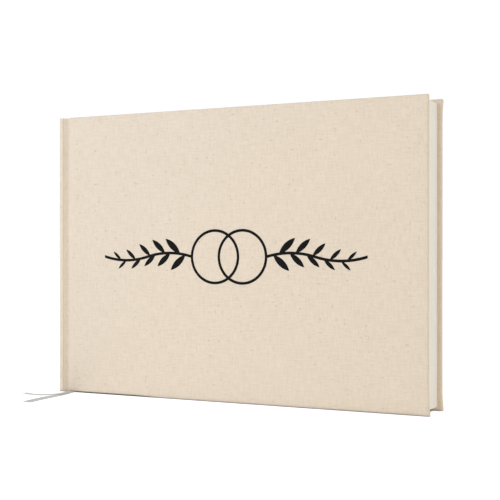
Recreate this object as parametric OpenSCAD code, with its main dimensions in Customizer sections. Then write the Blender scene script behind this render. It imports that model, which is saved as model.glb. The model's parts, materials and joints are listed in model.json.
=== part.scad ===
// Landscape guest book: a cloth-covered case, sewn sections of paper and two ribbon markers.
// It stands closed on its tail edge: X runs from the spine to the fore edge, the front cover
// faces -Y, and the origin is on the table under the middle of the book. Millimetres.

/* [Book] */
// Width from the spine to the fore edge of the covers
book_w = 266.4; // [200:0.2:330]
// Height of the covers from tail to head
book_h = 190.5; // [140:0.5:280]
// Thickness over both covers
book_t = 29; // [26:0.5:34]

/* [Case] */
// Thickness of the covering cloth
cloth_t = 0.4; // [0.3:0.05:0.6]
// Thickness of the two cover boards
board_t = 2.2; // [1.8:0.1:2.6]
// Thickness of the stiff board in the spine
spine_board_t = 1.9; // [1.5:0.1:2.1]
// Width that the cloth is turned in over the inside of the boards
turn_in = 15; // [8:1:20]
// Inner radius of the rounded cloth joint between the spine and a cover
joint_r = 2.2; // [2:0.1:2.6]
// Thickness of the black print on the front cover
print_t = 0.05; // [0.03:0.01:0.08]

/* [Pages] */
// How far the covers stand out past the pages
square = 2.4; // [2:0.1:5]
// Thickness of an endpaper or a single leaf
paper_t = 0.15; // [0.1:0.01:0.2]
// Sewn sections on each side of the middle of the book
half_sections = 4; // [4]
// Clearance between neighbouring sections and leaves
page_gap = 0.05; // [0.03:0.01:0.08]

/* [Ribbons] */
// Width of a ribbon marker
ribbon_w = 6; // [4:0.5:8]
// Thickness of a ribbon marker
ribbon_t = 0.15; // [0.1:0.01:0.16]

/* [Ornament] */
// Radius to the middle of each ring's line
ring_r = 17; // [12:0.5:20]
// Width of the printed lines
line_w = 1.8; // [1.2:0.1:2.4]
// Length of each sprig, from its ring to its tip
sprig_l = 68; // [55:1:80]

/* [Hidden] */
$fn = 64;

// Case, from the outside in
spine_x = -133.5;
fore_x = spine_x + book_w;
face_y = book_t / 2;
spine_edge_y = face_y - 0.2;
spine_in_x = spine_x + cloth_t + spine_board_t;
hinge_x = spine_in_x + cloth_t + joint_r;
joint_out_r = joint_r + cloth_t;
cover_x = hinge_x + joint_out_r + 0.15;
board_y = face_y - cloth_t;
window_y = board_y - board_t;
turn_y = window_y - cloth_t;

// The front cover's tail edge is lifted over the ribbons as far as the hinge swings it across them
relief_z = 0.5;
relief_x = hinge_x + 58;
relief_end_x = relief_x + 20;

// Pages, from the covers to the middle
page_fore_x = fore_x - square;
page_z0 = square;
page_z1 = book_h - square;
paper_pitch = paper_t + page_gap;
flyleaf_y = turn_y - paper_pitch - paper_t;
leaves = 4;
block_y = flyleaf_y - leaves * paper_pitch;
leaf_x = hinge_x + 8;
middle_gap = 0.3;
section_pitch = (block_y - page_gap - middle_gap) / half_sections;
section_t = section_pitch - page_gap;

// Back of the sewn sections: lining, mull, thread, folds
back_gap = 0.1;
lining_t = 0.25;
mull_t = 0.25;
thread_d = 0.5;
lining_x = spine_in_x + back_gap;
mull_x = lining_x + lining_t;
thread_x = mull_x + mull_t + thread_d / 2;
fold_r = 0.16 * section_t;
fold_x = thread_x + thread_d / 2 + fold_r;
neck_l = 4.6;
taper_l = 7.6;
stations = [18, 46, 82, 108.5, 144.5, 172.5];
band_r = 0.8;

// Ribbons: x and y of the middle line of each free end on the table, from the front cover's edge
ribbon_x = -122.9;
ribbon_1_z = 0.02;
ribbon_2_z = 0.22;
ribbon_top_z = 180;
ribbon_1_route = [
    [-122.9, -14.5], [-122.9, -17], [-122.4, -20.5], [-121.5, -24], [-120.7, -27.5],
    [-120.2, -31], [-119.8, -34.7], [-119.6, -38.5], [-119.5, -42.3], [-119.4, -46.1],
    [-119.3, -50], [-119.1, -54], [-118.8, -58], [-118.4, -62], [-118, -66], [-117.6, -69.5]
];
ribbon_2_route = [
    [-122.9, -14.5], [-122.9, -17], [-122.9, -19.8], [-122.9, -22.6], [-122.9, -25.3],
    [-123.2, -28], [-124, -30.7], [-125.3, -33.1], [-127, -35.2], [-129.1, -36.9],
    [-131.5, -38.2], [-134.2, -39], [-136.9, -39.3], [-139.8, -39.1], [-142.7, -38.5],
    [-145.6, -37.5], [-148.5, -36]
];

// Ornament
ornament_z = 94;
ring_gap = 10;
leaf_l = 15;
leaf_w = 4.4;
leaf_pitch = 11.5;
sprig_pairs = 5;

cloth_colour = [0.89, 0.84, 0.76];
board_colour = [0.62, 0.58, 0.52];
paper_colour = [0.95, 0.93, 0.88];
ribbon_colour = [0.93, 0.9, 0.83];

// A box between two corners
module span(low, high) {
    translate(low) cube([high[0] - low[0], high[1] - low[1], high[2] - low[2]]);
}

// Everything of the rear half is the front half mirrored
module rear() {
    mirror([0, 1, 0]) children();
}

// --- Spine ---

module spine_board() {
    color(board_colour)
        span([spine_x + cloth_t, -spine_edge_y + cloth_t, cloth_t],
             [spine_in_x, spine_edge_y - cloth_t, book_h - cloth_t]);
}

// Half pipe of cloth round the hinge's axis, open towards the outside
module joint_pipe() {
    translate([hinge_x, -face_y, 0])
        difference() {
            cylinder(h = book_h, r = joint_out_r);
            translate([0, 0, -1]) cylinder(h = book_h + 2, r = joint_r);
            translate([-10, -20 + face_y - spine_edge_y, -1]) cube([20, 20, book_h + 2]);
        }
}

module spine_cloth() {
    color(cloth_colour) {
        difference() {
            span([spine_x, -spine_edge_y, 0], [spine_in_x + cloth_t, spine_edge_y, book_h]);
            span([spine_x + cloth_t, -spine_edge_y + cloth_t, cloth_t],
                 [spine_in_x + 1, spine_edge_y - cloth_t, book_h - cloth_t]);
        }
        joint_pipe();
        rear() joint_pipe();
    }
}

module spine_lining() {
    color("tan")
        span([lining_x, -block_y, page_z0], [mull_x, block_y, page_z1]);
}

module spine_mull() {
    color("whitesmoke")
        span([mull_x, -block_y, page_z0 + 8], [mull_x + mull_t, block_y, page_z1 - 8]);
}

module sewing_thread() {
    color("white")
        for (z = stations)
            translate([thread_x, 0, z])
                rotate([90, 0, 0])
                    cylinder(h = 2 * block_y, d = thread_d, center = true);
}

// A rolled band across the back of the pages, with its tongue glued down the spine
module end_band(bead_z, tongue_z0, tongue_z1) {
    translate([fold_x + band_r / 2, 0, bead_z])
        rotate([90, 0, 0])
            cylinder(h = 2 * block_y, r = band_r, center = true);
    span([mull_x, -block_y, tongue_z0], [mull_x + mull_t, block_y, tongue_z1]);
    span([mull_x, -block_y, bead_z - 0.2], [fold_x + band_r / 2, block_y, bead_z + 0.2]);
}

module headband() {
    color("ivory")
        end_band(page_z1 + page_gap + band_r, page_z1 - 7.9, page_z1 + page_gap + band_r);
}

module tailband() {
    color("ivory")
        end_band(page_z0 - page_gap - band_r, page_z0 - page_gap - band_r, page_z0 + 7.9);
}

// --- Covers ---

// The outline of a cover seen from the front, drawn in by inset all round
module cover_outline(inset, lift) {
    polygon([
        [cover_x + inset, lift + inset], [relief_x, lift + inset], [relief_end_x, inset],
        [fore_x - inset, inset], [fore_x - inset, book_h - inset], [cover_x + inset, book_h - inset]
    ]);
}

// A plate with that outline between two distances in front of the middle plane
module cover_plate(inset, lift, out_y, in_y) {
    translate([0, -in_y, 0])
        rotate([90, 0, 0])
            linear_extrude(height = out_y - in_y) cover_outline(inset, lift);
}

module cover_board(lift) {
    color(board_colour) cover_plate(cloth_t, lift, board_y, window_y);
}

module cover_cloth(lift, out_y) {
    color(cloth_colour)
        difference() {
            cover_plate(0, lift, out_y, turn_y);
            cover_plate(cloth_t, lift, board_y, window_y);
            span([cover_x - 1, -window_y - 0.01, turn_in],
                 [fore_x - turn_in, -turn_y + 1, book_h - turn_in]);
        }
}

// The endpaper's glued half, which dips off the turned-in cloth onto the board
module pastedown() {
    x0 = cover_x + 0.4;
    color(paper_colour) {
        difference() {
            span([x0, -turn_y, page_z0], [page_fore_x, -turn_y + paper_t, page_z1]);
            span([x0 - 1, -turn_y - 1, turn_in + paper_t],
                 [fore_x - turn_in - paper_t, -turn_y + 1, book_h - turn_in - paper_t]);
        }
        difference() {
            span([x0, -window_y, turn_in], [fore_x - turn_in, -turn_y + paper_t, book_h - turn_in]);
            span([x0 - 1, -window_y + paper_t, turn_in + paper_t],
                 [fore_x - turn_in - paper_t, -turn_y + 1, book_h - turn_in - paper_t]);
        }
    }
}

module front_board() { cover_board(relief_z); }
module rear_board() { rear() cover_board(0); }
module front_cover_cloth() { cover_cloth(relief_z, face_y - print_t); }
module rear_cover_cloth() { rear() cover_cloth(0, face_y); }
module front_pastedown() { pastedown(); }
module rear_pastedown() { rear() pastedown(); }

// --- Ornament: two linked rings with a leafy sprig on each side ---

module ring_line(radius) {
    difference() {
        circle(r = radius + line_w / 2);
        circle(r = radius - line_w / 2);
    }
}

// A pointed leaf lying along +X from the origin, where two arcs cross
module leaf_shape(length, width) {
    arc_r = (length * length + width * width) / (4 * width);
    intersection() {
        translate([length / 2, arc_r - width / 2]) circle(r = arc_r);
        translate([length / 2, -arc_r + width / 2]) circle(r = arc_r);
    }
}

// Height of the sprig's wavy stem at a distance x from its ring
stem_half = sprig_l / 2;
stem_r = 60;
stem_rise = stem_r - sqrt(stem_r * stem_r - stem_half * stem_half / 4);
function stem_y(x) =
    let (k = x < stem_half ? 0 : 1, off = x - stem_half * (k + 0.5))
        (k == 0 ? 1 : -1) * (sqrt(stem_r * stem_r - off * off) - stem_r + stem_rise);

// A stem of two shallow arcs with pairs of leaves, smaller towards the tip
module sprig() {
    for (k = [0, 1])
        intersection() {
            translate([stem_half * (k + 0.5), (k == 0 ? -1 : 1) * (stem_r - stem_rise)])
                ring_line(stem_r);
            translate([stem_half * k - 0.4, -12]) square([stem_half + 0.8, 24]);
        }
    for (k = [0 : sprig_pairs - 1], side = [-1, 1]) {
        x = 7 + leaf_pitch * k + side * 2;
        translate([x, stem_y(x)])
            rotate(side * 42)
                leaf_shape(leaf_l - 1.6 * k, leaf_w - 0.6 * k);
    }
}

module ornament_shape() {
    for (side = [-1, 1])
        translate([side * ring_gap, 0]) ring_line(ring_r);
    for (side = [0, 1])
        mirror([side, 0])
            translate([ring_gap + ring_r, 0]) sprig();
}

module cover_ornament() {
    color("black")
        translate([(spine_x + fore_x) / 2, -face_y + print_t, ornament_z])
            rotate([90, 0, 0])
                linear_extrude(height = print_t) ornament_shape();
}

// --- Pages ---

module single_leaf(inner_y) {
    color(paper_colour)
        span([leaf_x, -inner_y - paper_t, page_z0], [page_fore_x, -inner_y, page_z1]);
}

// One sewn section: it narrows to a round fold, which it turns on
module section(middle_y) {
    half_t = section_t / 2;
    color(paper_colour)
        translate([0, -middle_y, page_z0]) {
            linear_extrude(height = page_z1 - page_z0)
                polygon([
                    [fold_x, fold_r], [fold_x, -fold_r], [fold_x + neck_l, -fold_r],
                    [fold_x + taper_l, -half_t], [page_fore_x, -half_t], [page_fore_x, half_t],
                    [fold_x + taper_l, half_t], [fold_x + neck_l, fold_r]
                ]);
            translate([fold_x, 0, 0]) cylinder(h = page_z1 - page_z0, r = fold_r);
        }
}

// Distance of a single leaf's inner face from the middle plane, counted from the flyleaf
function leaf_y(k) = flyleaf_y - k * paper_pitch;

// Distance of a section's middle from the middle plane, counted from the outside
function section_y(k) = middle_gap + (half_sections - 1 - k) * section_pitch + page_gap + section_t / 2;

module front_flyleaf() { single_leaf(flyleaf_y); }
module front_leaf_1() { single_leaf(leaf_y(1)); }
module front_leaf_2() { single_leaf(leaf_y(2)); }
module front_leaf_3() { single_leaf(leaf_y(3)); }
module front_leaf_4() { single_leaf(leaf_y(4)); }
module rear_flyleaf() { rear() single_leaf(flyleaf_y); }
module rear_leaf_1() { rear() single_leaf(leaf_y(1)); }
module rear_leaf_2() { rear() single_leaf(leaf_y(2)); }
module rear_leaf_3() { rear() single_leaf(leaf_y(3)); }
module rear_leaf_4() { rear() single_leaf(leaf_y(4)); }

module section_1() { section(section_y(0)); }
module section_2() { section(section_y(1)); }
module section_3() { section(section_y(2)); }
module section_4() { section(section_y(3)); }
module section_5() { rear() section(section_y(3)); }
module section_6() { rear() section(section_y(2)); }
module section_7() { rear() section(section_y(1)); }
module section_8() { rear() section(section_y(0)); }

// --- Ribbons ---

// The stretch that the book holds: down between the middle pages and forward under the tail edge
module ribbon_inner(strip_y, low_z) {
    color(ribbon_colour) {
        span([ribbon_x - ribbon_w / 2, strip_y, low_z],
             [ribbon_x + ribbon_w / 2, strip_y + ribbon_t, ribbon_top_z]);
        span([ribbon_x - ribbon_w / 2, -face_y, low_z],
             [ribbon_x + ribbon_w / 2, strip_y + ribbon_t, low_z + ribbon_t]);
    }
}

// Unit direction of a route at point i, from its neighbours
function along(route, i) =
    let (a = route[max(i - 1, 0)], b = route[min(i + 1, len(route) - 1)]) (b - a) / norm(b - a);

// One long edge of a ribbon that follows a route, on the side of the sign
function edge(route, side) = [
    for (i = [0 : len(route) - 1])
        let (d = along(route, i))
            route[i] + side * ribbon_w / 2 * [-d[1], d[0]]
                + (i == len(route) - 1 && side < 0 ? 3 * d : [0, 0])
];

// The free end lies flat on the table and is cut at a slant
module ribbon_tail(route, low_z) {
    left = edge(route, 1);
    right = edge(route, -1);
    last = len(route) - 1;
    color(ribbon_colour)
        translate([0, 0, low_z])
            linear_extrude(height = ribbon_t)
                polygon(concat(left, [for (i = [last : -1 : 0]) right[i]]));
}

module ribbon_1_inner() { ribbon_inner(0.05, ribbon_1_z); }
module ribbon_2_inner() { ribbon_inner(-0.05 - ribbon_t, ribbon_2_z); }
module ribbon_1_tail() { ribbon_tail(ribbon_1_route, ribbon_1_z); }
module ribbon_2_tail() { ribbon_tail(ribbon_2_route, ribbon_2_z); }

spine_board();
spine_cloth();
spine_mull();
spine_lining();
sewing_thread();
headband();
tailband();
front_board();
front_cover_cloth();
front_pastedown();
cover_ornament();
rear_board();
rear_cover_cloth();
rear_pastedown();
front_flyleaf();
front_leaf_1();
front_leaf_2();
front_leaf_3();
front_leaf_4();
rear_flyleaf();
rear_leaf_1();
rear_leaf_2();
rear_leaf_3();
rear_leaf_4();
section_1();
section_2();
section_3();
section_4();
section_5();
section_6();
section_7();
section_8();
ribbon_1_inner();
ribbon_2_inner();
ribbon_1_tail();
ribbon_2_tail();
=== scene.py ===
import json
import math
import random

import bmesh
import bpy
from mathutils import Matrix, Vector


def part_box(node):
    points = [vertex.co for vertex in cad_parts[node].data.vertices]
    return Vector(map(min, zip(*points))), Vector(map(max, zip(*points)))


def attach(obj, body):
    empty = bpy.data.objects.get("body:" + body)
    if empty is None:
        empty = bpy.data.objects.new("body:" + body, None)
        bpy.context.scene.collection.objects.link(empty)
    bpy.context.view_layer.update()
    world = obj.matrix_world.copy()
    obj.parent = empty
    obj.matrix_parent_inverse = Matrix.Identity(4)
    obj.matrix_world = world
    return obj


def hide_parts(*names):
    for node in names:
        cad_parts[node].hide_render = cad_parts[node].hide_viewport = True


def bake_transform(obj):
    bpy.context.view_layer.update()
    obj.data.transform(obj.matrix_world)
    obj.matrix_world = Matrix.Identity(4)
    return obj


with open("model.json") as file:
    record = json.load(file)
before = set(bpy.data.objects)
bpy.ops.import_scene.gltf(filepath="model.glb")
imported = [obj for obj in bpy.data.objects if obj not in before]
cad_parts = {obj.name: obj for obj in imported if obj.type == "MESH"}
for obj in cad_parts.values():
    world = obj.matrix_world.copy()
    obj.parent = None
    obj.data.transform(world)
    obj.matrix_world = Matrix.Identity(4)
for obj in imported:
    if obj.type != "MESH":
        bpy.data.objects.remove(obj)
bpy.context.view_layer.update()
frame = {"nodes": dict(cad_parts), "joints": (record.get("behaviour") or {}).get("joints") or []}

# A cloth-covered landscape guest book, standing closed on its tail edge. All lengths are in metres.
# Covers, joints and single leaves are shaped for the rear half, y > 0, and mirrored for the front.

MM = 0.001
FRONT, REAR = -1, 1
NAME = {FRONT: "front", REAR: "rear"}

# ---------------------------------------------------------------- places taken from the frame

JOINTS = {j["name"]: j for j in frame["joints"]}
HINGE_X = JOINTS["front_cover_hinge"]["pos_m"][0]
FACE_Y = JOINTS["rear_cover_hinge"]["pos_m"][1]
FOLD_X = JOINTS["section_1_turn"]["pos_m"][0]
SPINE_LOW, SPINE_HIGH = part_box("spine_cloth")
BOARD_LOW_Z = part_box("rear_board")[0][2]
COVER_LOW, COVER_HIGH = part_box("rear_cover_cloth")
PAGE_LOW, PAGE_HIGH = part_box("section_1")
MULL_HIGH_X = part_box("spine_mull")[1][0]
HEIGHT = COVER_HIGH[2]
SPINE_PROUD = 0.5 * MM  # how far the cloth stands proud of the CAD solid at the spine
FORE_PROUD = {FRONT: 0, REAR: 0.3 * MM}  # and at the fore edge
COVER_X0, COVER_X1 = COVER_LOW[0], COVER_HIGH[0]
TURN_Y = COVER_LOW[1]
CLOTH_T = BOARD_LOW_Z - COVER_LOW[2]
SPINE_X0 = SPINE_LOW[0] - SPINE_PROUD
SPINE_EDGE_Y = SPINE_HIGH[1]
LEAF_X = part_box("front_flyleaf")[0][0]
PRINT_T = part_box("cover_ornament")[1][1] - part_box("cover_ornament")[0][1]

# The cloth as it is wrapped
EDGE_R = 0.95 * MM
SPINE_R = 0.65 * MM
SPINE_THICK = 2.7 * MM + SPINE_PROUD
TURN_IN = 15 * MM
RECESS = CLOTH_T - 0.05 * MM  # from the turned-in cloth down to the board inside it
GROOVE_DEPTH = 2.1 * MM
RELIEF_Z = 0.5 * MM  # the front cover's tail edge is raised this far, up to the next two places
RELIEF_X, RELIEF_END_X = HINGE_X + 58 * MM, HINGE_X + 78 * MM
CORNER_SWELL = {FRONT: (0.8 * MM, 0.15 * MM), REAR: (0.7 * MM, 0.7 * MM)}  # at tail and head
CORNER_REACH = 6 * MM
CROWN = 0.2 * MM  # how much lower the cover's face is at its edges
CROWN_REACH = 3.5 * MM

# Paper
PAPER_T = 0.15 * MM
SHEETS = 6
PAGE_T = PAGE_HIGH[1] - PAGE_LOW[1]
BLOCK_Y = -PAGE_LOW[1]
MIDDLE_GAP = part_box("section_5")[0][1] - 0.02 * MM
LEAF_STEP = 7.3  # from one leaf's U to the next, so that each has its own shade
BEND_L = 28 * MM  # the leaves of a section bend over this length

# Ribbons
RIBBON_W = 6 * MM
RIBBON_T = 0.15 * MM
RIBBON_Z = {1: 0.02 * MM, 2: 0.22 * MM}  # their undersides: the second lies on the first
RIBBON_STRIP_Y = {1: 0.05 * MM, 2: -0.2 * MM}  # the held strips, side by side between the pages
RIBBON_TOP_Z = 180 * MM
# How far the left and right corners of the cut end are past the route, and where that begins
RIBBON_CUT = {1: (2.4 * MM, 2.2 * MM), 2: (0.7 * MM, -3.4 * MM)}
RIBBON_CUT_REACH = 14 * MM
# How far the left and right edges rise towards the end, and the shares of its length in which they do
RIBBON_LIFT = {1: (0.42 * MM, 0), 2: (0, 0.45 * MM)}
RIBBON_LIFT_SPAN = {1: (0.33, 0.65), 2: (0.6, 0.95)}
# The middle line of each free end on the table, in millimetres
RIBBON_ROUTES = {
    1: [(-122.9, -14.5), (-122.9, -17), (-122.4, -20.5), (-121.5, -24), (-120.7, -27.5),
        (-120.2, -31), (-119.8, -34.7), (-119.6, -38.5), (-119.5, -42.3), (-119.4, -46.1),
        (-119.3, -50), (-119.1, -54), (-118.8, -58), (-118.4, -62), (-118, -66), (-117.6, -69.5)],
    2: [(-122.9, -14.5), (-122.9, -17), (-122.9, -19.8), (-122.9, -22.6), (-122.9, -25.3),
        (-123.2, -28), (-124, -30.7), (-125.3, -33.1), (-127, -35.2), (-129.1, -36.9),
        (-131.5, -38.2), (-134.2, -39), (-136.9, -39.3), (-139.8, -39.1), (-142.7, -38.5),
        (-145.6, -37.5), (-148.5, -36)],
}

# ---------------------------------------------------------------- camera

CAMERA_AT = (331.9 * MM, -640.4 * MM, 96.9 * MM)
CAMERA_AZIMUTH = 26.83  # degrees
CAMERA_LENS = 79.2  # millimetres
CAMERA_SHIFT_Y = 0.0046  # share of the picture's width


def make_camera():
    """A level camera in front of the book, on the right."""
    data = bpy.data.cameras.new("camera")
    data.lens = CAMERA_LENS
    data.shift_y = CAMERA_SHIFT_Y
    camera = bpy.data.objects.new("camera", data)
    camera.location = CAMERA_AT
    camera.rotation_euler = (math.pi / 2, 0, math.radians(CAMERA_AZIMUTH))
    bpy.context.scene.collection.objects.link(camera)
    bpy.context.scene.camera = camera


make_camera()

# ---------------------------------------------------------------- materials


def set_stops(ramp, stops):
    """Gives a colour ramp node its stops: (place, colour)."""
    elements = ramp.color_ramp.elements
    while len(elements) < len(stops):
        elements.new(0.5)
    for element, (at, colour) in zip(elements, stops):
        element.position = at
        element.color = (*colour, 1.0)


class Tree:
    """A new material with short calls for the nodes it needs."""

    def __init__(self, name):
        self.material = bpy.data.materials.new(name)
        self.material.use_nodes = True
        self.nodes = self.material.node_tree.nodes
        self.links = self.material.node_tree.links
        self.shader = self.nodes["Principled BSDF"]

    def put(self, value, socket):
        """Links a socket's value, or sets a plain one."""
        if isinstance(value, bpy.types.NodeSocket):
            self.links.new(value, socket)
        else:
            socket.default_value = value

    def math(self, operation, a, b=0.0, clamp=False):
        """One Math node: a and b are numbers or sockets."""
        node = self.nodes.new("ShaderNodeMath")
        node.operation = operation
        node.use_clamp = clamp
        self.put(a, node.inputs[0])
        self.put(b, node.inputs[1])
        return node.outputs[0]

    def scaled(self, value, by, plus, clamp=False):
        """The value times one number plus another."""
        out = self.math("MULTIPLY_ADD", value, by, clamp)
        out.node.inputs[2].default_value = plus
        return out

    def mix_of(self, *parts):
        """The sum of each (value, weight)."""
        total = 0.0
        for value, weight in parts:
            total = self.math("ADD", total, self.math("MULTIPLY", value, weight))
        return total

    def mapped(self, vector, scale):
        """The vector with each part times its scale."""
        node = self.nodes.new("ShaderNodeMapping")
        self.links.new(vector, node.inputs["Vector"])
        node.inputs["Scale"].default_value = scale
        return node.outputs[0]

    def uv(self):
        """The piece's own UV map."""
        node = self.nodes.new("ShaderNodeUVMap")
        node.uv_map = "cloth"
        return node.outputs[0]

    def place(self):
        """Where a point is in the row frame, in metres."""
        return self.nodes.new("ShaderNodeTexCoord").outputs["Object"]

    def split(self, vector):
        """The three numbers of a vector."""
        node = self.nodes.new("ShaderNodeSeparateXYZ")
        self.links.new(vector, node.inputs[0])
        return node.outputs

    def joined(self, first, second):
        """A flat vector from two numbers."""
        node = self.nodes.new("ShaderNodeCombineXYZ")
        self.links.new(first, node.inputs[0])
        self.links.new(second, node.inputs[1])
        return node.outputs[0]

    def noise(self, vector, scale, detail=2.0, rough=0.5):
        """Soft noise from 0 to 1, mostly near 0.5."""
        node = self.nodes.new("ShaderNodeTexNoise")
        self.links.new(vector, node.inputs["Vector"])
        node.inputs["Scale"].default_value = scale
        node.inputs["Detail"].default_value = detail
        node.inputs["Roughness"].default_value = rough
        return node.outputs[0]

    def cells(self, vector, scale):
        """Distance to the nearest cell's point, and that cell's random red and green."""
        node = self.nodes.new("ShaderNodeTexVoronoi")
        node.voronoi_dimensions = "2D"
        self.links.new(vector, node.inputs["Vector"])
        node.inputs["Scale"].default_value = scale
        colour = self.nodes.new("ShaderNodeSeparateColor")
        self.links.new(node.outputs["Color"], colour.inputs[0])
        return node.outputs["Distance"], colour.outputs[0], colour.outputs[1]

    def ramp(self, value, stops):
        """A colour for each value."""
        node = self.nodes.new("ShaderNodeValToRGB")
        self.links.new(value, node.inputs[0])
        set_stops(node, stops)
        return node.outputs[0]

    def between(self, share, a, b):
        """A colour that goes from a, at share 0, to b, at share 1."""
        node = self.nodes.new("ShaderNodeMix")
        node.data_type = "RGBA"
        self.put(share, node.inputs["Factor"])
        for value, socket in ((a, node.inputs["A"]), (b, node.inputs["B"])):
            self.put((*value, 1.0) if isinstance(value, tuple) else value, socket)
        return node.outputs["Result"]

    def bump(self, height, distance, strength=1.0, after=None):
        """A normal for the height, on top of another bump where one is given."""
        node = self.nodes.new("ShaderNodeBump")
        self.links.new(height, node.inputs["Height"])
        node.inputs["Distance"].default_value = distance
        node.inputs["Strength"].default_value = strength
        if after is not None:
            self.links.new(after, node.inputs["Normal"])
        return node.outputs[0]

    def finish(self, colour, roughness, normal=None, **constants):
        """Sets the shader: constants are its other inputs, with _ for each space."""
        self.put(colour, self.shader.inputs["Base Color"])
        self.put(roughness, self.shader.inputs["Roughness"])
        if normal is not None:
            self.links.new(normal, self.shader.inputs["Normal"])
        for name, value in constants.items():
            self.shader.inputs[name.replace("_", " ")].default_value = value
        return self.material


CANVAS_PITCH = 0.62 * MM  # between the threads of the covering cloth
CANVAS_WANDER = 1.6  # how unevenly its threads run, in radians of the weave
RIB_PITCH = 0.28 * MM  # between the cross ribs of the satin ribbons
BAND_WRAP = 0.8 * MM  # between the turns of silk on the head and tail bands


def plain_weave(tree, uv, pitch, unevenness):
    """Height of a plain weave from 0 to 1, with threads that wander a little."""
    wander = tree.noise(uv, 260, 2)
    shift = tree.math("MULTIPLY", tree.math("SUBTRACT", wander, 0.5), unevenness)
    u, v, _ = tree.split(uv)
    waves = []
    for axis in (u, v):
        turns = tree.math("ADD", tree.math("MULTIPLY", axis, math.pi / pitch), shift)
        waves.append(tree.math("SINE", turns))
    over = tree.math("MULTIPLY", waves[0], waves[1])
    over = tree.scaled(over, 2.0, 0.5, True)
    warp, weft = (tree.math("ABSOLUTE", w) for w in waves)
    ridges = []
    for across, length in ((warp, weft), (weft, warp)):
        ridges.append(tree.math("MULTIPLY", tree.math("POWER", across, 0.6),
                                tree.math("POWER", length, 0.3)))
    swap = tree.math("SUBTRACT", ridges[0], ridges[1])
    return tree.math("ADD", ridges[1], tree.math("MULTIPLY", swap, over))


def slubs(tree, uv):
    """Thick places in single threads of both directions: soft streaks from 0 to 1, mostly near 0.5."""
    along_u = tree.noise(tree.mapped(uv, (1, 8, 1)), 130, 2, 0.6)
    along_v = tree.noise(tree.mapped(uv, (8, 1, 1)), 130, 2, 0.6)
    both = tree.mix_of((along_u, 2.0), (along_v, 2.0))
    return tree.math("SUBTRACT", both, 1.5, clamp=True)


def flecks(tree, uv, pitch, size, share, stretch):
    """Bits of cotton seed: soft ragged marks in some of the cells of a loose grid."""
    edge_wobble, least = 0.5 * MM, 0.3 * size / pitch
    ragged = tree.nodes.new("ShaderNodeVectorMath")
    ragged.operation = "MULTIPLY_ADD"
    wobble = tree.nodes.new("ShaderNodeTexNoise")
    tree.links.new(uv, wobble.inputs["Vector"])
    wobble.inputs["Scale"].default_value = 1400
    tree.links.new(wobble.outputs["Color"], ragged.inputs[0])
    ragged.inputs[1].default_value = (edge_wobble, edge_wobble, 0)
    tree.links.new(uv, ragged.inputs[2])
    distance, pick, big = tree.cells(tree.mapped(ragged.outputs[0], stretch), 1 / pitch)
    radius = tree.scaled(big, size / pitch, least)
    dot = tree.math("SUBTRACT", 1.0, tree.math("DIVIDE", distance, radius), clamp=True)
    chosen = tree.math("LESS_THAN", pick, share)
    return tree.math("MULTIPLY", tree.math("POWER", dot, 0.6), chosen)


# Seed marks: cell size and largest radius in millimetres, share of cells, stretch, strength
FLECKS = [
    (8, 0.7, 0.35, (1, 1, 1), 0.38),
    (6, 0.5, 0.3, (0.4, 1, 1), 0.34),
    (5.3, 0.5, 0.25, (1, 0.45, 1), 0.3),
    (2.7, 0.42, 0.4, (1, 1, 1), 0.22),
]


def canvas(name, light, dark, seed):
    """Unbleached cotton canvas with slubs, uneven threads and bits of seed, and painted shade between
    its threads.
    """
    tree = Tree(name)
    uv = tree.uv()
    weave = plain_weave(tree, uv, CANVAS_PITCH, CANVAS_WANDER)
    streaks = slubs(tree, uv)
    cloud = tree.noise(uv, 30, 2)
    grain = tree.noise(uv, 900, 3, 0.7)
    # the weave's height darkens the colour between the threads: painted shade in the weave's hollows,
    # beside the random tone of slubs, grain and cloud
    shade = tree.mix_of((streaks, 0.3), (grain, 0.2), (cloud, 0.1), (weave, 0.4))
    colour = tree.ramp(shade, [(0.24, dark), (0.76, light)])
    for pitch, size, share, stretch, strength in FLECKS:
        marks = flecks(tree, uv, pitch * MM, size * MM, share, stretch)
        colour = tree.between(tree.math("MULTIPLY", marks, strength), colour, seed)
    low = tree.bump(streaks, 0.08 * MM, 0.5)
    normal = tree.bump(weave, 0.14 * MM, 0.55, low)
    rough = tree.scaled(weave, -0.1, 0.93)
    return tree.finish(colour, rough, normal, Sheen_Weight=0.12, Sheen_Roughness=0.6)


def paper(name, light, dark):
    """Uncoated paper: soft mottling and a felt-like tooth."""
    tree = Tree(name)
    place = tree.place()
    mottle = tree.noise(place, 60, 4, 0.6)
    tooth = tree.noise(place, 1800, 2, 0.7)
    colour = tree.ramp(tree.mix_of((mottle, 0.7), (tooth, 0.3)), [(0.3, dark), (0.7, light)])
    return tree.finish(colour, tree.scaled(mottle, 0.12, 0.8), tree.bump(tooth, 0.03 * MM, 0.35))


def leaf_edges(name, light, dark):
    """Paper whose shade changes a little from leaf to leaf: each leaf has its own U."""
    tree = Tree(name)
    uv = tree.uv()
    leaf = tree.noise(tree.mapped(uv, (1, 5, 1)), 1, 1)
    fibre = tree.noise(tree.place(), 900, 3, 0.6)
    mottle = tree.noise(tree.place(), 40, 2)
    colour = tree.ramp(tree.mix_of((leaf, 0.7), (fibre, 0.2), (mottle, 0.1)),
                       [(0.3, dark), (0.65, light)])
    return tree.finish(colour, tree.scaled(fibre, 0.1, 0.82), tree.bump(fibre, 0.03 * MM, 0.3))


def satin(name, light, dark):
    """Narrow woven satin with fine cross ribs, a little painted shade in their hollows, and a soft
    gloss.
    """
    tree = Tree(name)
    uv = tree.uv()
    u, _, _ = tree.split(uv)
    ribs = tree.math("SINE", tree.math("MULTIPLY", u, 2 * math.pi / RIB_PITCH))
    threads = tree.noise(tree.mapped(uv, (0.4, 12, 1)), 500, 2)
    # the ribs also darken the colour a little in their hollows: painted shade
    colour = tree.ramp(tree.mix_of((ribs, 0.1), (threads, 1.0)), [(0.3, dark), (0.75, light)])
    return tree.finish(colour, tree.scaled(threads, 0.2, 0.3), tree.bump(ribs, 0.02 * MM, 0.4),
                       Sheen_Weight=0.2)


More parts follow.
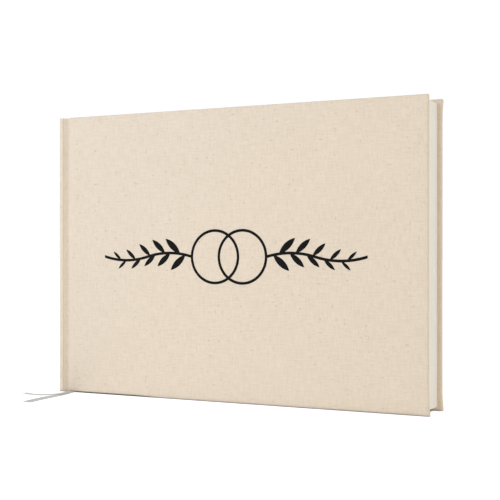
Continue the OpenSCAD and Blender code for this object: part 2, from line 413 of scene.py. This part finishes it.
def ink():
    """Black foil pressed into the cloth, so the weave shows in its gloss."""
    tree = Tree("black_print")
    place = tree.place()
    x, _, z = tree.split(place)
    flat = tree.joined(x, z)
    weave = plain_weave(tree, flat, CANVAS_PITCH, CANVAS_WANDER)
    wear = tree.noise(place, 700, 3, 0.7)
    colour = tree.ramp(wear, [(0.35, (0.002, 0.002, 0.002)), (0.75, (0.01, 0.009, 0.008))])
    return tree.finish(colour, tree.scaled(wear, 0.3, 0.5), tree.bump(weave, 0.1 * MM, 0.5),
                       Specular_IOR_Level=0.08)


def threads_cloth(name, light, dark, pitch):
    """An open or tight thread cloth on a CAD solid, woven along Y and Z, darker where the weave is
    low: painted shade between the threads.
    """
    tree = Tree(name)
    _, y, z = tree.split(tree.place())
    weave = plain_weave(tree, tree.joined(y, z), pitch, 1.0)
    # painted shade: the colour is darker where the weave is low, between the threads
    colour = tree.ramp(weave, [(0.1, dark), (0.8, light)])
    return tree.finish(colour, tree.scaled(weave, 0.1, 0.75), tree.bump(weave, 0.2 * MM, 0.8))


def grey_board():
    """Binder's board: pressed grey-brown pulp with flecks."""
    tree = Tree("grey_board")
    place = tree.place()
    pulp = tree.noise(place, 420, 5, 0.7)
    colour = tree.ramp(pulp, [(0.3, (0.27, 0.235, 0.19)), (0.7, (0.43, 0.385, 0.32))])
    return tree.finish(colour, tree.scaled(pulp, 0.1, 0.85), tree.bump(pulp, 0.08 * MM, 0.5))


def end_band_cloth():
    """Silk-wrapped band in two close creams, a stripe for each wrap."""
    tree = Tree("end_band")
    _, y, _ = tree.split(tree.place())
    stripe = tree.math("SINE", tree.math("MULTIPLY", y, math.pi / BAND_WRAP))
    fine = tree.noise(tree.place(), 2500, 2)
    shade = tree.mix_of((stripe, 0.4), (fine, 1.0))
    colour = tree.ramp(shade, [(0.35, (0.66, 0.56, 0.42)), (0.65, (0.86, 0.82, 0.73))])
    return tree.finish(colour, tree.scaled(fine, 0.2, 0.4), tree.bump(fine, 0.03 * MM, 0.5),
                       Sheen_Weight=0.2)


CANVAS = canvas("cotton_canvas", (0.716, 0.602, 0.458), (0.594, 0.489, 0.35), (0.36, 0.23, 0.12))
PAPER = leaf_edges("page_paper", (0.87, 0.825, 0.735), (0.77, 0.715, 0.615))
ENDPAPER = paper("end_paper", (0.79, 0.755, 0.68), (0.755, 0.72, 0.645))
SATIN = satin("ivory_satin", (0.54, 0.53, 0.475), (0.41, 0.4, 0.35))
INK = ink()
MULL = threads_cloth("gauze", (0.85, 0.82, 0.74), (0.55, 0.5, 0.42), 1.1 * MM)
LINING = paper("kraft_lining", (0.5, 0.37, 0.24), (0.4, 0.29, 0.18))
THREAD = threads_cloth("linen_thread", (0.85, 0.8, 0.7), (0.6, 0.54, 0.44), 0.3 * MM)
BOARD = grey_board()
BAND = end_band_cloth()

# ---------------------------------------------------------------- mesh helpers


def make_piece(name, verts, faces, material, uvs=None, smooth_angle=40):
    """A mesh object with outward normals, and with a UV map in metres unless it is given one."""
    mesh = bpy.data.meshes.new(name)
    mesh.from_pydata([tuple(v) for v in verts], [], faces)
    layer = mesh.uv_layers.new(name="cloth")
    if uvs is not None:
        for loop in mesh.loops:
            layer.data[loop.index].uv = uvs[loop.vertex_index]
    else:
        box_uv(mesh, layer)
    work = bmesh.new()
    work.from_mesh(mesh)
    bmesh.ops.recalc_face_normals(work, faces=work.faces)
    work.to_mesh(mesh)
    work.free()
    mesh.materials.append(material)
    mesh.shade_smooth()
    mesh.set_sharp_from_angle(angle=math.radians(smooth_angle))
    piece = bpy.data.objects.new(name, mesh)
    bpy.context.scene.collection.objects.link(piece)
    return piece


def add_solid(verts, faces, more, new):
    """Adds another solid's points and faces to a mesh."""
    faces += [tuple(i + len(verts) for i in face) for face in new]
    verts += more


def box_uv(mesh, layer):
    """Each face takes the two directions it lies along, so that threads run with the edges."""
    for face in mesh.polygons:
        n = [abs(c) for c in face.normal]
        for i in face.loop_indices:
            x, y, z = mesh.vertices[mesh.loops[i].vertex_index].co
            if n[1] >= n[0] and n[1] >= n[2]:
                layer.data[i].uv = (x, z)
            elif n[0] >= n[2]:
                layer.data[i].uv = (y, z)
            else:
                layer.data[i].uv = (x, y)


def cuts(low, high, radius, step, extra=()):
    """Grid lines from low to high: close together within radius of the ends, step apart between."""
    least_gap, in_edge = 0.05 * MM, 4
    near = [radius * k / in_edge for k in range(in_edge + 1)]
    inner = max(2, round((high - low - 2 * radius) / step))
    middle = [low + radius + (high - low - 2 * radius) * k / inner for k in range(1, inner)]
    lines = [low + n for n in near] + middle + [high - n for n in near] + list(extra)
    kept = []
    for line in sorted(lines):
        if not kept or line - kept[-1] > least_gap:
            kept.append(line)
    return kept


def box_grid(xs, ys, zs):
    """The surface of a box as a grid of quads that share their corners."""
    index, verts, faces = {}, [], []

    def at(i, j, k):
        if (i, j, k) not in index:
            index[i, j, k] = len(verts)
            verts.append(Vector((xs[i], ys[j], zs[k])))
        return index[i, j, k]

    nx, ny, nz = len(xs) - 1, len(ys) - 1, len(zs) - 1
    for j in (0, ny):
        for i in range(nx):
            for k in range(nz):
                faces.append((at(i, j, k), at(i + 1, j, k), at(i + 1, j, k + 1), at(i, j, k + 1)))
    for i in (0, nx):
        for j in range(ny):
            for k in range(nz):
                faces.append((at(i, j, k), at(i, j + 1, k), at(i, j + 1, k + 1), at(i, j, k + 1)))
    for k in (0, nz):
        for i in range(nx):
            for j in range(ny):
                faces.append((at(i, j, k), at(i + 1, j, k), at(i + 1, j + 1, k), at(i, j + 1, k)))
    return verts, faces


def rounded(verts, low, high, radius):
    """Moves the points of a box's surface onto the same box with round edges.

    It gives back the way out at each point."""
    outs = []
    for v in verts:
        inner = Vector([min(max(v[a], low[a] + radius), high[a] - radius) for a in range(3)])
        out = v - inner
        v[:] = inner + out.normalized() * radius
        outs.append(out.normalized())
    return outs


# ---------------------------------------------------------------- covers and spine


def smooth_step(value, low, high):
    """0 up to low, 1 from high on, and a smooth rise between."""
    t = min(max((value - low) / (high - low), 0), 1)
    return t * t * (3 - 2 * t)


def tail_lift(x):
    """How far the front cover's tail edge is raised near the spine, for the ribbons under it."""
    return RELIEF_Z * (1 - smooth_step(x, RELIEF_X, RELIEF_END_X))


def corner_swell(v, out, side):
    """How far the doubled cloth stands out near a cover's two outer corners, but not on its face."""
    d_x = COVER_X1 - v.x
    d_z = min(v.z, HEIGHT - v.z)
    near = math.exp(-(d_x * d_x + d_z * d_z) / CORNER_REACH ** 2)
    most = CORNER_SWELL[side][v.z > HEIGHT / 2]
    elsewhere = 0.3  # share of the swelling on the edges at head and tail
    return most * near * (elsewhere + (1 - elsewhere) * max(out.x, 0)) * (1 - max(out.y, 0))


def window_dip(x, z, slope):
    """Share of the way from the turned-in cloth down to the bare board inside it, 0 to 1."""
    inside = min(COVER_X1 - TURN_IN - x, z - TURN_IN, HEIGHT - TURN_IN - z)
    return smooth_step(inside, 0, slope)


def place(verts, side):
    """The shapes are made with the cover's outside towards +Y: the front half is mirrored."""
    if side == FRONT:
        for v in verts:
            v.y = -v.y
    return verts


def cover_wrap(side):
    """The cloth round one board, turned in on the inside, with its folded corners."""
    out_y = FACE_Y - (PRINT_T if side == FRONT else 0)
    low = Vector((COVER_X0, TURN_Y, 0))
    high = Vector((COVER_X1 + FORE_PROUD[side], out_y, HEIGHT))
    slope, step, edge_step = 0.5 * MM, 7 * MM, 1 * MM
    corner = [d * MM for d in (2, 3.5, 5, 8, 11)]  # extra lines for the swollen corners
    xs = cuts(low.x, high.x, EDGE_R, step,
              [COVER_X1 - TURN_IN, COVER_X1 - TURN_IN - slope] + [COVER_X1 - d for d in corner])
    edges = corner + [TURN_IN, TURN_IN + slope]
    zs = cuts(low.z, high.z, EDGE_R, step, edges + [HEIGHT - d for d in edges])
    ys = cuts(low.y, high.y, EDGE_R, edge_step)
    verts, faces = box_grid(xs, ys, zs)
    dips = [RECESS * window_dip(v.x, v.z, slope) if v.y == low.y and v.x > low.x + EDGE_R else 0
            for v in verts]
    outs = rounded(verts, low, high, EDGE_R)
    for v, out, dip in zip(verts, outs, dips):
        edge = min(COVER_X1 - v.x, v.z, HEIGHT - v.z)
        crown = CROWN * max(0, 1 - edge / CROWN_REACH) ** 2 * max(out.y, 0)
        v += out * corner_swell(v, out, side)
        v.y += dip - crown
        v.z = max(v.z, 0)
        if side == FRONT:
            v.z += tail_lift(v.x) * (1 - v.z / HEIGHT)
    name = NAME[side]
    piece = make_piece(name + "_cover_canvas", place(verts, side), faces, CANVAS)
    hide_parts(name + "_cover_cloth")
    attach(piece, name + "_cover")


def solid_strip(rows):
    """A closed band: each row is a list of (point, normal, half thickness) across it."""
    wide = len(rows[0])
    verts = []
    for row in rows:
        verts += [p + n * h for p, n, h in row] + [p - n * h for p, n, h in row]
    faces = []
    last = len(rows) - 1

    def at(i, j, under=0):
        return i * 2 * wide + under * wide + j

    for i in range(last):
        for j in range(wide - 1):
            for under in (0, 1):
                faces.append((at(i, j, under), at(i, j + 1, under),
                              at(i + 1, j + 1, under), at(i + 1, j, under)))
        for j in (0, wide - 1):
            faces.append((at(i, j), at(i + 1, j), at(i + 1, j, 1), at(i, j, 1)))
    for i in (0, last):
        for j in range(wide - 1):
            faces.append((at(i, j), at(i, j + 1), at(i, j + 1, 1), at(i, j, 1)))
    return verts, faces


def strip_uvs(rows):
    """Metres along the rows and across them, for the points of a solid strip."""
    uvs, along = [], 0.0
    for i, row in enumerate(rows):
        if i:
            along += (row[len(row) // 2][0] - rows[i - 1][len(row) // 2][0]).length
        across = [0.0]
        for a, b in zip(row, row[1:]):
            across.append(across[-1] + (b[0] - a[0]).length)
        uvs += [(along, c) for c in across] * 2
    return uvs


def joint_strip(side):
    """The cloth in the groove between the spine and a cover."""
    low_x, high_x = HINGE_X - 2.45 * MM, HINGE_X + 2.95 * MM
    foot = 0.1  # share of the groove's depth where the cloth leaves the spine
    climb, climb_from = 1 * MM, 0.8  # its rise to the cover, in the last share of its width
    ends_in, thin_end = 0.1 * MM, 0.5 * MM
    steps, near = 24, 0.01

    def depth(t):
        """The cloth comes down gently from the spine and goes up steeply to the cover."""
        t = min(max(t, 0), 1)
        down = smooth_step(t, -0.25, 0.62)
        up = max(0, (t - climb_from) / (1 - climb_from)) ** 3
        return (foot + (1 - foot) * down) * GROOVE_DEPTH - climb * up

    rows = []
    for z in cuts(ends_in, HEIGHT - ends_in, 0.8 * MM, 6 * MM):
        end = min(z, HEIGHT - z) / thin_end
        half_t = CLOTH_T / 2 * min(1, 0.4 + 0.6 * end)
        row = []
        for k in range(steps + 1):
            t = 0.5 - 0.5 * math.cos(math.pi * k / steps)
            lean = depth(t + near) - depth(t - near)
            point = Vector((low_x + t * (high_x - low_x), FACE_Y - depth(t) - half_t, z))
            normal = Vector((lean, 2 * near * (high_x - low_x), 0))
            row.append((point, normal.normalized(), half_t))
        rows.append(row)
    verts, faces = solid_strip(rows)
    name = NAME[side]
    piece = make_piece(name + "_joint_canvas", place(verts, side), faces, CANVAS, strip_uvs(rows))
    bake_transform(piece)


def spine_wrap():
    """The cloth over the spine board, with its rounded edges."""
    low = Vector((SPINE_X0, -SPINE_EDGE_Y, 0))
    high = Vector((SPINE_X0 + SPINE_THICK, SPINE_EDGE_Y, HEIGHT))
    steps = (1 * MM, 2 * MM, 6 * MM)
    xs, ys, zs = (cuts(a, b, SPINE_R, step) for a, b, step in zip(low, high, steps))
    verts, faces = box_grid(xs, ys, zs)
    rounded(verts, low, high, SPINE_R)
    piece = make_piece("spine_canvas", verts, faces, CANVAS)
    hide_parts("spine_cloth")
    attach(piece, "root")


# ---------------------------------------------------------------- paper


def sheet_solid(xs, zs, surface, thickness):
    """A thin sheet in the XZ plane: surface(x, z) is the height of its outer face."""
    rows = []
    for z in zs:
        rows.append([(Vector((x, surface(x, z) - thickness / 2, z)), Vector((0, 1, 0)), thickness / 2)
                     for x in xs])
    return solid_strip(rows)


def even(low, high, count):
    """Numbers from low to high, with count equal steps between them."""
    return [low + (high - low) * k / count for k in range(count + 1)]


def pastedown(side):
    """The glued half of an endpaper: the turned-in cloth and its mitred corners show through it."""
    slope, mitre_w, mitre_h = 1.4 * MM, 0.7 * MM, 0.12 * MM
    at_slope = [TURN_IN + d * MM for d in (-0.4, 0, 0.3, 0.7, 1.1, 1.4, 1.8)]
    ends = at_slope + [d * MM for d in range(4, 15)]
    in_joint = even(HINGE_X - 0.6 * MM, COVER_X0 + 1 * MM, 10)
    in_middle = even(COVER_X0 + 8 * MM, COVER_X1 - 20 * MM, 24)
    xs = sorted(in_joint + in_middle + [COVER_X1 - d for d in ends] + [PAGE_HIGH[0]])
    zs = sorted([PAGE_LOW[2], PAGE_HIGH[2]] + ends + [HEIGHT - d for d in ends]
                + even(TURN_IN + 6 * MM, HEIGHT - TURN_IN - 6 * MM, 20))

    def surface(x, z):
        from_joint = smooth_step(x, COVER_X0, COVER_X0 + 2 * MM)
        dip = RECESS * window_dip(x, z, slope) * from_joint
        off = abs((COVER_X1 - x) - min(z, HEIGHT - z))
        flap = mitre_h * max(0, 1 - off / mitre_w) * (1 - window_dip(x, z, slope))
        return TURN_Y + dip - flap

    verts, faces = sheet_solid(xs, zs, surface, PAPER_T)
    name = NAME[side]
    piece = make_piece(name + "_pastedown_paper", place(verts, side), faces, ENDPAPER)
    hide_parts(name + "_pastedown")
    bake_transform(piece)


def single_leaf(side, part, material):
    """A loose leaf, with close grid lines near the joint."""
    node = NAME[side] + "_" + part
    low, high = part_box(node)
    outer = max(abs(low[1]), abs(high[1]))
    in_bend = even(HINGE_X - 0.5 * MM, LEAF_X, 16)
    xs = in_bend + even(LEAF_X + 10 * MM, high[0], 12)
    verts, faces = sheet_solid(xs, even(low[2], high[2], 10), lambda x, z: outer, high[1] - low[1])
    piece = make_piece(node + "_paper", place(verts, side), faces, material)
    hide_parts(node)
    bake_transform(piece)


def folded_sheet(middle_y, offset, thick, fore_x, low_z, high_z):
    """One sheet of a section: two leaves and the round fold that joins them at the spine."""
    off_mull, turns = 0.5 * MM, 8
    fold_x = MULL_HIGH_X + off_mull + PAGE_T / 2
    flat = even(fore_x, FOLD_X + BEND_L, 5) + even(FOLD_X + BEND_L, fold_x, 12)[1:]
    line = [(x, offset, 0, 1) for x in flat[:-1]]
    for k in range(turns + 1):
        a = math.pi / 2 + math.pi * k / turns
        line.append((fold_x + offset * math.cos(a), offset * math.sin(a), math.cos(a), math.sin(a)))
    line += [(x, -offset, 0, -1) for x in reversed(flat[:-1])]
    rows = []
    for z in (low_z, high_z):
        rows.append([(Vector((x, settled(x, middle_y + y), z)), Vector((nx, ny, 0)), thick / 2)
                     for x, y, nx, ny in line])
    return solid_strip(rows)


def settled(x, y):
    """Past the ribbons the leaves lean in and close the gap that the ribbons keep open."""
    lean = smooth_step(x, RIBBON_ROUTES[1][0][0] * MM + RIBBON_W / 2, FOLD_X + BEND_L)
    return y - math.copysign(MIDDLE_GAP * (1 - abs(y) / BLOCK_Y), y) * lean


def section(k, rng):
    """A sewn section of folded sheets, whose leaves bend away from the spine together."""
    node = "section_%d" % k
    low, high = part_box(node)
    middle_y = (low[1] + high[1]) / 2
    pitch = (high[1] - low[1]) / (2 * SHEETS)
    uneven = 0.05 * MM
    verts, faces, uvs = [], [], []
    for j in range(SHEETS):
        more, new = folded_sheet(middle_y, (j + 0.5) * pitch, pitch * rng.uniform(0.82, 0.93),
                                 high[0] - rng.uniform(0, uneven), low[2] + rng.uniform(0, uneven),
                                 high[2] - rng.uniform(0, uneven))
        add_solid(verts, faces, more, new)
        uvs += [(LEAF_STEP * (SHEETS * k + j + (0.5 if v.y > middle_y else 0)), v.z) for v in more]
    piece = make_piece(node + "_leaves", verts, faces, PAPER, uvs, smooth_angle=30)
    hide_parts(node)
    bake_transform(piece)


def end_band(node, tongue_down):
    """A wrapped cord across the back of the pages, and the strip that holds it down."""
    low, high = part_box(node)
    radius, end_in, half_t = 0.75 * MM, 0.8 * MM, 0.1 * MM
    x = FOLD_X + 0.4 * MM
    z = high[2] - end_in if tongue_down else low[2] + end_in
    sides, count = 14, 160
    thin, swell, twist = 0.9, 0.12, 0.6  # the cord between two turns, its turns, and their slant
    verts, faces = [], []
    for i in range(count + 1):
        y = low[1] + (high[1] - low[1]) * i / count
        r = radius * (thin + swell * abs(math.sin(math.pi * y / BAND_WRAP)))
        for k in range(sides):
            a = 2 * math.pi * k / sides + twist * y / BAND_WRAP
            verts.append(Vector((x + r * math.cos(a), y, z + r * math.sin(a))))
    for i in range(count):
        for k in range(sides):
            a, b = i * sides + k, i * sides + (k + 1) % sides
            faces.append((a, b, b + sides, a + sides))
    faces += [tuple(range(sides)), tuple(range(count * sides, (count + 1) * sides))]
    back = MULL_HIGH_X - 0.15 * MM
    reach = -7 * MM if tongue_down else 7 * MM
    rows = []
    for share, xx in ((0, x - 0.2 * MM), (0.1, back + 0.2 * MM), (0.25, back), (1, back)):
        rows.append([(Vector((xx, y, z + share * reach)), Vector((1, 0, 0)), half_t)
                     for y in even(low[1], high[1], 20)])
    add_solid(verts, faces, *solid_strip(rows))
    piece = make_piece(node + "_wrapped", verts, faces, BAND)
    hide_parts(node)
    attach(piece, "root")


# ---------------------------------------------------------------- ribbons

ACROSS = (-1, -0.94, -0.8, -0.4, 0, 0.4, 0.8, 0.94, 1)  # from the left edge to the right


def selvedge(share):
    """Half thickness across the ribbon: a little more in the woven edges."""
    thick, thin = 1.15, 0.9
    return RIBBON_T / 2 * (thick if 0.75 < abs(share) < 0.97 else thin)


def curve_through(points, steps):
    """A smooth line through the points, as Catmull and Rom drew it."""
    line = []
    for i in range(len(points) - 1):
        p = [points[max(i - 1, 0)], points[i], points[i + 1], points[min(i + 2, len(points) - 1)]]
        for k in range(steps):
            t = k / steps
            line.append(0.5 * (2 * p[1] + (p[2] - p[0]) * t
                               + (2 * p[0] - 5 * p[1] + 4 * p[2] - p[3]) * t * t
                               + (3 * p[1] - p[0] - 3 * p[2] + p[3]) * t ** 3))
    return line + [points[-1]]


def ribbon_tail(k):
    """The free end of a ribbon, flat on the table and cut at a slant."""
    left, right = RIBBON_CUT[k]
    left_lift, right_lift = RIBBON_LIFT[k]
    z = RIBBON_Z[k] + RIBBON_T / 2
    route = [Vector((x * MM, y * MM, z)) for x, y in RIBBON_ROUTES[k]]
    line = curve_through(route, 3)
    rows = []
    for i, point in enumerate(line):
        d = (line[min(i + 1, len(line) - 1)] - line[max(i - 1, 0)]).normalized()
        side = Vector((-d.y, d.x, 0))
        near_end = max(0, 1 - (line[-1] - point).length / RIBBON_CUT_REACH)
        along = i / (len(line) - 1)
        lifted = smooth_step(along, *RIBBON_LIFT_SPAN[k])
        row = []
        for s in ACROSS:
            past = near_end * (left + (right - left) * (1 + s) / 2)
            up = lifted * (left_lift * ((1 - s) / 2) ** 2 + right_lift * ((1 + s) / 2) ** 2)
            row.append((point + side * (s * RIBBON_W / 2) + d * past + Vector((0, 0, up)),
                        Vector((0, 0, 1)), selvedge(s)))
        rows.append(row)
    verts, faces = solid_strip(rows)
    piece = make_piece("ribbon_%d_free_end" % k, verts, faces, SATIN, strip_uvs(rows))
    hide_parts("ribbon_%d_tail" % k)
    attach(piece, "root")


def ribbon_inner(k):
    """The stretch of a ribbon that the pages hold, and its way forward under the tail edge."""
    y = RIBBON_STRIP_Y[k] + RIBBON_T / 2
    z = RIBBON_Z[k] + RIBBON_T / 2
    bend, turns = 1.2 * MM, 8
    x = RIBBON_ROUTES[k][0][0] * MM
    line = [(y, zz) for zz in even(RIBBON_TOP_Z, z + bend, 30)]
    for i in range(1, turns):
        a = math.pi / 2 * i / turns
        line.append((y - bend * (1 - math.cos(a)), z + bend * (1 - math.sin(a))))
    line += [(yy, z) for yy in even(y - bend, -FACE_Y, 6)]
    rows = []
    for i, (yy, zz) in enumerate(line):
        a, b = line[max(i - 1, 0)], line[min(i + 1, len(line) - 1)]
        normal = Vector((0, -(b[1] - a[1]), b[0] - a[0])).normalized()
        rows.append([(Vector((x + s * RIBBON_W / 2, yy, zz)), normal, selvedge(s)) for s in ACROSS])
    verts, faces = solid_strip(rows)
    piece = make_piece("ribbon_%d_held" % k, verts, faces, SATIN, strip_uvs(rows))
    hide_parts("ribbon_%d_inner" % k)
    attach(piece, "root")


# ---------------------------------------------------------------- stage

SKY_STRENGTH = 1.25
SKY = [(0.3, 0.816), (0.52, 0.26), (0.8, 0.26), (0.88, 1.0)]  # how high, and share of the strength
FLOOR_HALF = 12.0  # half the side of the floor
# The floor glows by itself as painted light; near the book the glow fades out, which paints a dark
# contact shadow round it.
FLOOR_GLOW = 0.75
PAINTED_SHADOW_FADE = 2 * MM
FORE_OPEN = 6 * MM  # between the boards the floor glows this far in from the fore edge; further in it is left dark as painted shadow under the pages


def hang(name, data, at, toward):
    """Puts a light in the scene, turned towards a point."""
    lamp = bpy.data.objects.new(name, data)
    lamp.location = at
    lamp.rotation_euler = (Vector(toward) - Vector(at)).to_track_quat("-Z", "Y").to_euler()
    bpy.context.scene.collection.objects.link(lamp)


def area_light(name, at, toward, size, watts, colour):
    """A large round soft light."""
    data = bpy.data.lights.new(name, "AREA")
    data.color = colour
    data.shape = "DISK"
    data.size = size
    data.energy = watts
    hang(name, data, at, toward)


def spot_light(name, at, toward, size, degrees, watts):
    """A soft round pool of light that fades from its middle."""
    data = bpy.data.lights.new(name, "SPOT")
    data.shadow_soft_size = size
    data.spot_size = math.radians(degrees)
    data.spot_blend = 1.0
    data.energy = watts
    hang(name, data, at, toward)


def painted_shadow_footprints():
    """What stands on the floor, as (x from, x to, y from, y to): two boards and the rest. The floor's
    glow is taken away over these, as a painted shadow under the book.
    """
    rear = (COVER_X0, COVER_X1, TURN_Y, FACE_Y)
    front = (COVER_X0, COVER_X1, -FACE_Y, -TURN_Y)
    return [rear, front, (SPINE_X0, COVER_X1 - FORE_OPEN, -FACE_Y, FACE_Y)]


def floor_glow_and_painted_shadow(tree):
    """The floor glows softly by itself as painted light, but not under the book nor right beside it:
    there the missing glow paints a dark contact shadow.
    """
    x, y, _ = tree.split(tree.place())
    nearest = 1.0
    for x0, x1, y0, y1 in painted_shadow_footprints():
        outside = []
        for axis, low, high in ((x, x0, x1), (y, y0, y1)):
            off = tree.math("ABSOLUTE", tree.math("SUBTRACT", axis, (low + high) / 2))
            outside.append(tree.math("MAXIMUM", tree.math("SUBTRACT", off, (high - low) / 2), 0.0))
        far = tree.math("SQRT", tree.mix_of((tree.math("POWER", outside[0], 2.0), 1.0),
                                            (tree.math("POWER", outside[1], 2.0), 1.0)))
        nearest = tree.math("MINIMUM", far, nearest)
    # the glow rises from nothing at the book over this distance: a painted contact shadow
    share = tree.math("DIVIDE", nearest, PAINTED_SHADOW_FADE, clamp=True)
    return tree.math("MULTIPLY", share, FLOOR_GLOW)


def make_floor():
    """A plain pale floor that glows by itself as painted light, with a painted contact shadow round
    the book.
    """
    tree = Tree("pale_floor")
    tone = tree.noise(tree.place(), 1.5, 2)
    darker, lighter = (0.5, 0.5, 0.5), (0.54, 0.54, 0.54)
    material = tree.finish(tree.ramp(tone, [(0.2, darker), (0.8, lighter)]), 0.8)
    tree.shader.inputs["Emission Color"].default_value = (1, 1, 1, 1)
    tree.put(floor_glow_and_painted_shadow(tree), tree.shader.inputs["Emission Strength"])
    mesh = bpy.data.meshes.new("floor")
    r = FLOOR_HALF
    mesh.from_pydata([(-r, -r, 0), (r, -r, 0), (r, r, 0), (-r, r, 0)], [], [(0, 1, 2, 3)])
    mesh.materials.append(material)
    floor = bpy.data.objects.new("floor", mesh)
    bpy.context.scene.collection.objects.link(floor)


def make_sky():
    """White round the horizon, softer above it, and a brighter patch overhead for the upward faces."""
    world = bpy.data.worlds.new("studio")
    world.use_nodes = True
    nodes, links = world.node_tree.nodes, world.node_tree.links
    height = nodes.new("ShaderNodeSeparateXYZ")
    links.new(nodes.new("ShaderNodeTexCoord").outputs["Generated"], height.inputs[0])
    ramp = nodes.new("ShaderNodeValToRGB")
    links.new(height.outputs[2], ramp.inputs[0])
    set_stops(ramp, [(at, (share, share, share)) for at, share in SKY])
    links.new(ramp.outputs[0], nodes["Background"].inputs["Color"])
    nodes["Background"].inputs["Strength"].default_value = SKY_STRENGTH
    bpy.context.scene.world = world


def studio():
    """A pale floor that glows, with a painted shadow round the book, a surround, a large soft light at
    the front on the left, and two weak ones.
    """
    make_floor()
    make_sky()
    bpy.context.scene.view_settings.view_transform = "Standard"
    area_light("key", at=(-0.75, -0.85, 0.75), toward=(0, 0, 0.1), size=0.7, watts=5.9,
               colour=(0.8, 0.96, 1.34))
    area_light("fill", at=(0.9, -0.4, 0.3), toward=(0.13, 0, 0.1), size=0.5, watts=0.43,
               colour=(1, 0.94, 0.8))
    spot_light("pool", at=(-0.35, -0.95, 0.35), toward=(-0.02, 0, 0.075), size=0.15, degrees=21,
               watts=2.6)


# ---------------------------------------------------------------- the book

SECTIONS, LEAVES = 8, 4  # sewn sections, and single leaves after the flyleaf at each end
SEED = 7

for k in RIBBON_ROUTES:
    ribbon_tail(k)
    ribbon_inner(k)

spine_wrap()
for side in (FRONT, REAR):
    cover_wrap(side)
    joint_strip(side)
    pastedown(side)
    single_leaf(side, "flyleaf", ENDPAPER)
    for k in range(1, LEAVES + 1):
        single_leaf(side, "leaf_%d" % k, ENDPAPER)
rng = random.Random(SEED)
for k in range(1, SECTIONS + 1):
    section(k, rng)
end_band("headband", True)
end_band("tailband", False)

KEPT_CAD = {"cover_ornament": INK, "spine_mull": MULL, "spine_lining": LINING,
            "sewing_thread": THREAD, "spine_board": BOARD, "front_board": BOARD,
            "rear_board": BOARD}
for node, material in KEPT_CAD.items():
    mesh = frame["nodes"][node].data
    mesh.materials.clear()
    mesh.materials.append(material)

studio()
